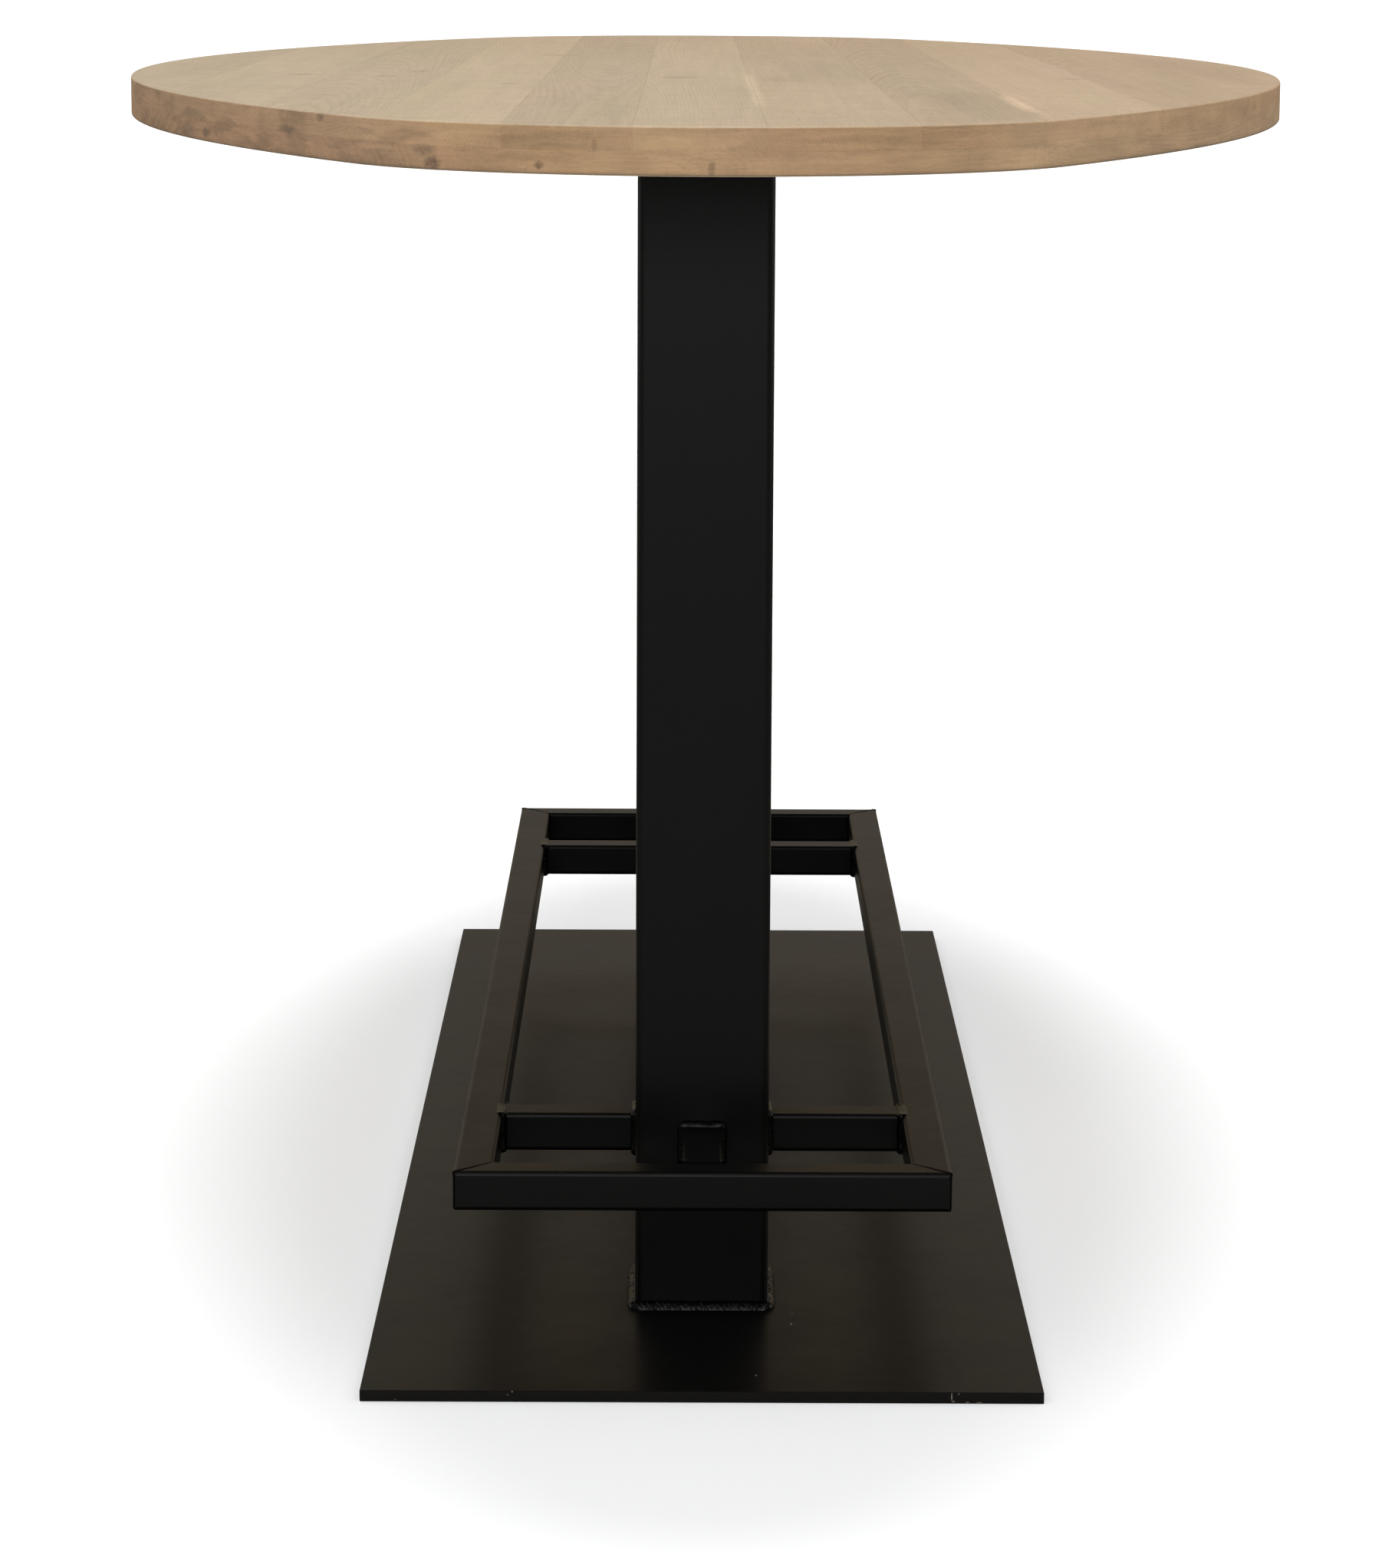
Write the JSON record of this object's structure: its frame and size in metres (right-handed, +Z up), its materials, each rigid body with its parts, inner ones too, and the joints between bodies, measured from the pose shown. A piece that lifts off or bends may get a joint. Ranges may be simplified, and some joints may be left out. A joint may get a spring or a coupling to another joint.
{
  "type": "bar table",
  "caption": "Bar-height table with a long four-centre oval oak plank top on two square black steel columns, a floor plate and a rectangular foot rail frame.",
  "frame": {"origin": "on the floor, at the centre of the table", "axes": "+Z up, +Y along the length of the top, -Y is the end that faces the viewer, +X to the viewer's right"},
  "size_m": [1.12, 2.8, 1.1],
  "materials": {
    "oak": "matt oiled pale oak, planks along Y",
    "black_powder_coat": "satin black powder coat, fine texture",
    "painted_weld": "rippled weld beads under the same black coat",
    "zinc": "bright zinc"
  },
  "bodies": {
    "root": {"column_front": "black_powder_coat", "column_rear": "black_powder_coat", "cross_rail_front_left": "black_powder_coat", "cross_rail_front_right": "black_powder_coat", "cross_rail_rear_left": "black_powder_coat", "cross_rail_rear_right": "black_powder_coat", "cross_rail_welds_front": "painted_weld", "cross_rail_welds_rear": "painted_weld", "floor_plate": "black_powder_coat", "foot_weld_front": "painted_weld", "foot_weld_rear": "painted_weld", "head_weld_front": "painted_weld", "head_weld_rear": "painted_weld", "mitre_welds": "painted_weld", "mounting_plate_front": "black_powder_coat", "mounting_plate_rear": "black_powder_coat", "oak_batten_front": "oak", "oak_batten_rear": "oak", "oak_border_01": "oak", "oak_border_02": "oak", "oak_border_03": "oak", "oak_border_04": "oak", "oak_border_05": "oak", "oak_border_06": "oak", "oak_border_07": "oak", "oak_border_08": "oak", "oak_border_09": "oak", "oak_border_10": "oak", "oak_stave_01": "oak", "oak_stave_02": "oak", "oak_stave_03": "oak", "oak_stave_04": "oak", "oak_stave_05": "oak", "oak_stave_06": "oak", "oak_stave_07": "oak", "oak_stave_08": "oak", "oak_stave_09": "oak", "oak_stave_10": "oak", "oak_stave_11": "oak", "rail_front": "black_powder_coat", "rail_left": "black_powder_coat", "rail_rear": "black_powder_coat", "rail_right": "black_powder_coat", "stub_front": "black_powder_coat", "stub_rear": "black_powder_coat", "stub_welds_front": "painted_weld", "stub_welds_rear": "painted_weld", "top_screws_front": "zinc", "top_screws_rear": "zinc", "top_washers_front": "zinc", "top_washers_rear": "zinc"}
  },
  "joints": []
}
